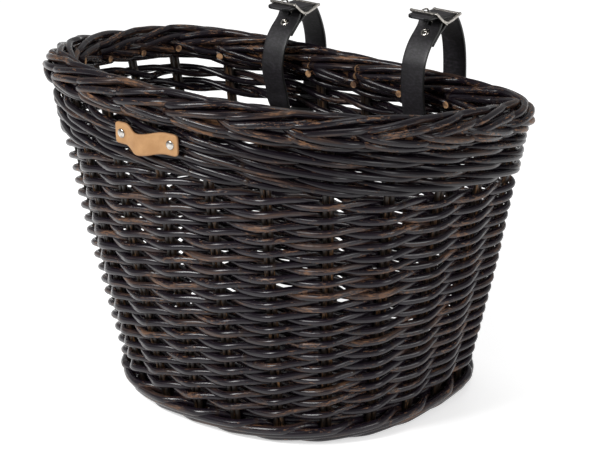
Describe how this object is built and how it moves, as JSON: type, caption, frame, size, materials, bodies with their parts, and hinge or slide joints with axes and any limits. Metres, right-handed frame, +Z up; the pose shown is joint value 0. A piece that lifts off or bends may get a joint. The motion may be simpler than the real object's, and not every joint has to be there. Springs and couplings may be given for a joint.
{
  "type": "bicycle basket",
  "caption": "D-shaped woven rattan front basket with a tapered wall, rolled border, bare leather tag and buckled leather straps that hang it from a handlebar.",
  "frame": {"origin": "on the surface that the basket stands on, at the middle base stick, under the widest line of the basket", "axes": "+Z up, +Y towards the handlebar and the flat back, -Y the rounded front, +X to the right seen from the front"},
  "size_m": [0.4392, 0.3346, 0.3412],
  "materials": {
    "woven_rattan": "dark lacquered rattan, semi-gloss, worn brown in places",
    "stake_rattan": "brown stained rattan, thin lacquer",
    "black_leather": "black strap leather with fine creases",
    "tan_leather": "natural tan leather, matt",
    "nickel": "nickel plated"
  },
  "bodies": {
    "basket": {"stake_01": "stake_rattan", "stake_02": "stake_rattan", "stake_03": "stake_rattan", "stake_04": "stake_rattan", "stake_05": "stake_rattan", "stake_06": "stake_rattan", "stake_07": "stake_rattan", "stake_08": "stake_rattan", "stake_09": "stake_rattan", "stake_10": "stake_rattan", "stake_11": "stake_rattan", "stake_12": "stake_rattan", "stake_13": "stake_rattan", "stake_14": "stake_rattan", "stake_15": "stake_rattan", "stake_16": "stake_rattan", "stake_17": "stake_rattan", "stake_18": "stake_rattan", "stake_19": "stake_rattan", "stake_20": "stake_rattan", "stake_21": "stake_rattan", "stake_22": "stake_rattan", "weaver_1_a": "woven_rattan", "weaver_1_b": "woven_rattan", "weaver_2_a": "woven_rattan", "weaver_2_b": "woven_rattan", "weaver_3_a": "woven_rattan", "weaver_3_b": "woven_rattan", "weaver_4_a": "woven_rattan", "weaver_4_b": "woven_rattan", "weaver_5_a": "woven_rattan", "weaver_5_b": "woven_rattan", "weaver_6_a": "woven_rattan", "weaver_6_b": "woven_rattan", "upper_wale": "woven_rattan", "rolled_border": "woven_rattan", "foot_rod_outer": "woven_rattan", "foot_rod_inner": "woven_rattan", "base_mat": "woven_rattan", "base_stick_1": "stake_rattan", "base_stick_2": "stake_rattan", "base_stick_3": "stake_rattan", "base_stick_4": "stake_rattan", "base_stick_5": "stake_rattan", "tag_rivet_left": "nickel", "tag_rivet_right": "nickel", "leather_tag": "tan_leather"},
    "left_strap_loop": {"left_strap": "black_leather", "left_strap_rivet": "nickel", "left_buckle_frame": "nickel"},
    "left_prong": {"left_buckle_prong": "nickel"},
    "right_strap_loop": {"right_strap": "black_leather", "right_strap_rivet": "nickel", "right_buckle_frame": "nickel"},
    "right_prong": {"right_buckle_prong": "nickel"}
  },
  "joints": [
    {"name": "left_strap_swing", "type": "hinge", "parent": "basket", "child": "left_strap_loop", "pos_m": [-0.0811, 0.10037, 0.23607], "axis": [1, 0, 0], "range_deg": [-25, 25]},
    {"name": "left_prong_lift", "type": "hinge", "parent": "left_strap_loop", "child": "left_prong", "pos_m": [-0.0811, 0.09837, 0.3086], "axis": [-1, 0, 0], "range_deg": [0, 60]},
    {"name": "right_strap_swing", "type": "hinge", "parent": "basket", "child": "right_strap_loop", "pos_m": [0.0811, 0.10037, 0.23473], "axis": [1, 0, 0], "range_deg": [-25, 25]},
    {"name": "right_prong_lift", "type": "hinge", "parent": "right_strap_loop", "child": "right_prong", "pos_m": [0.0811, 0.09837, 0.3261], "axis": [-1, 0, 0], "range_deg": [0, 60]}
  ]
}
